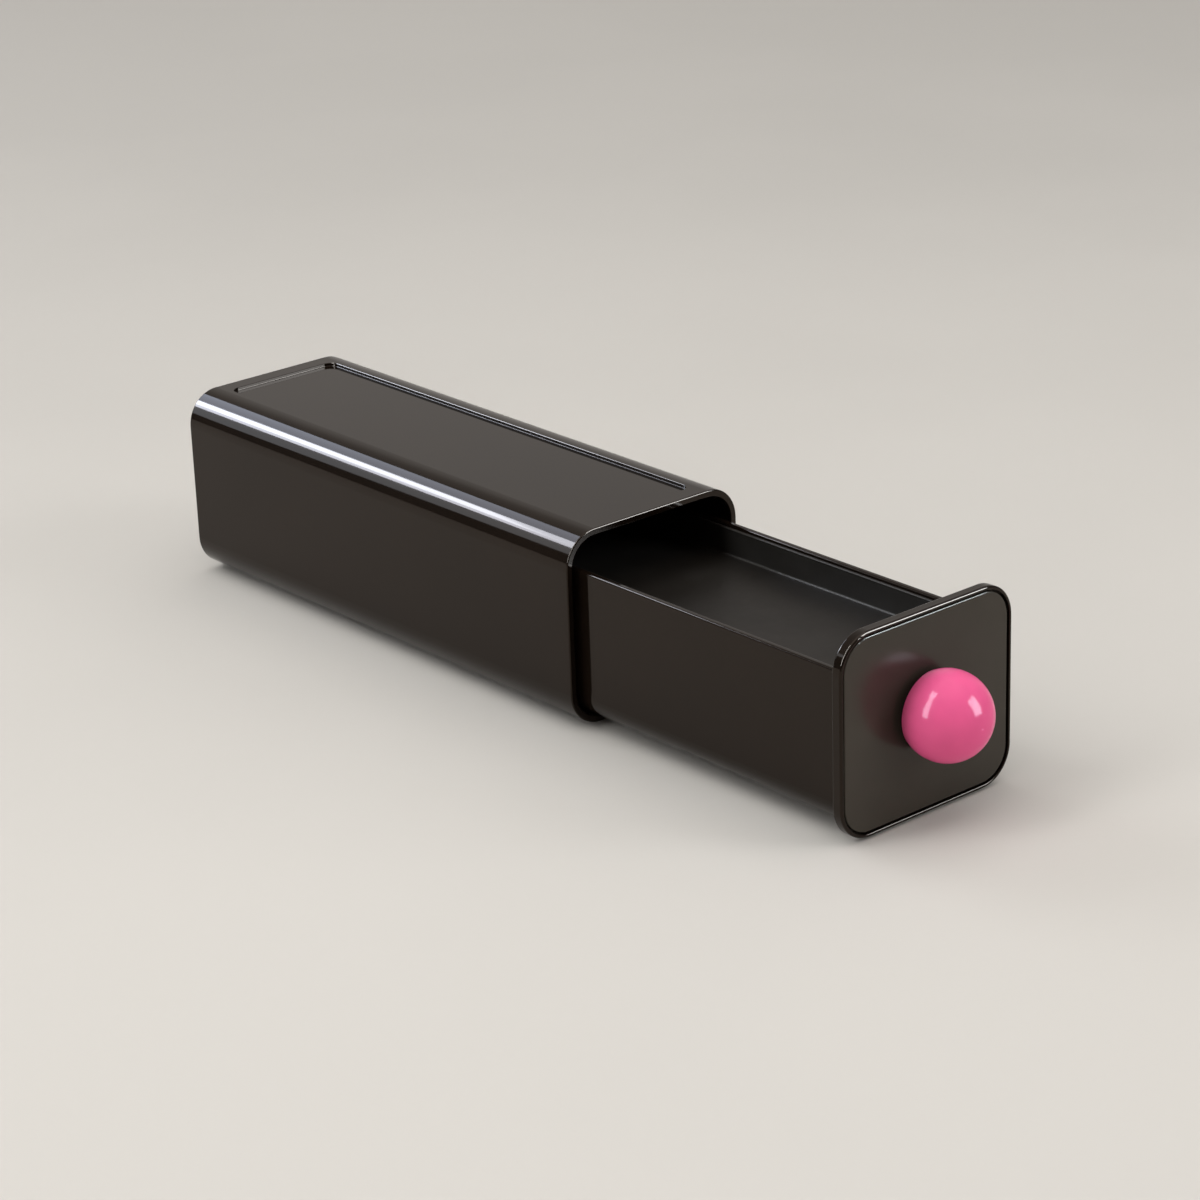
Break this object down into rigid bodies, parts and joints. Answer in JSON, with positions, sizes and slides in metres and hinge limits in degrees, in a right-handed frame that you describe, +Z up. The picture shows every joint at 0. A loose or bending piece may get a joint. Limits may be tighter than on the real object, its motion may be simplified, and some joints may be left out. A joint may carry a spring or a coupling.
{
  "type": "pencil drawer box",
  "caption": "Long rounded box for pencils: a sleeve with a sliding deep drawer, an inset front panel, a ball knob and a lift-out tray.",
  "frame": {"origin": "on the table, under the middle of the box round the whole object with the drawer open as in the picture (163 mm)", "axes": "+X across, to the right seen from the knob; +Y from the knob towards the rear, so the drawer opens along -Y; +Z up"},
  "size_m": [0.1, 0.4848, 0.0922],
  "materials": {
    "sleeve_gloss": "polished black moulded plastic",
    "drawer_gloss": "polished black moulded plastic",
    "front_gloss": "polished black moulded plastic",
    "panel_satin": "black plastic, a little softer gloss",
    "back_satin": "fine satin black plastic",
    "tray_satin": "satin black plastic",
    "knob_pink": "polished pink resin",
    "collar_black": "matt black plastic",
    "glide_white": "slick off-white glide strip",
    "guide_black": "matt black plastic",
    "pad_rubber": "matt black rubber",
    "bumper_rubber": "soft black rubber",
    "screw_steel": "zinc-plated steel",
    "insert_brass": "turned brass"
  },
  "bodies": {
    "case": {"sleeve": "sleeve_gloss", "back_panel": "back_satin", "runner_left": "glide_white", "runner_right": "glide_white", "guide_left": "guide_black", "guide_right": "guide_black", "drawer_stop": "guide_black", "rear_bumper_left": "bumper_rubber", "rear_bumper_right": "bumper_rubber", "foot_front_left": "pad_rubber", "foot_front_right": "pad_rubber", "foot_rear_left": "pad_rubber", "foot_rear_right": "pad_rubber"},
    "drawer": {"drawer_box": "drawer_gloss", "front_frame": "front_gloss", "front_panel": "panel_satin", "front_screws": "screw_steel", "knob_ball": "knob_pink", "knob_collar": "collar_black", "knob_insert": "insert_brass", "knob_washer": "screw_steel", "knob_screw": "screw_steel", "stop_tab": "guide_black", "stop_tab_screws": "screw_steel", "pen_tray": "tray_satin"}
  },
  "joints": [
    {"name": "drawer_slide", "type": "slide", "parent": "case", "child": "drawer", "axis": [0, -1, 0], "range_m": [-0.1625, 0.035]}
  ]
}
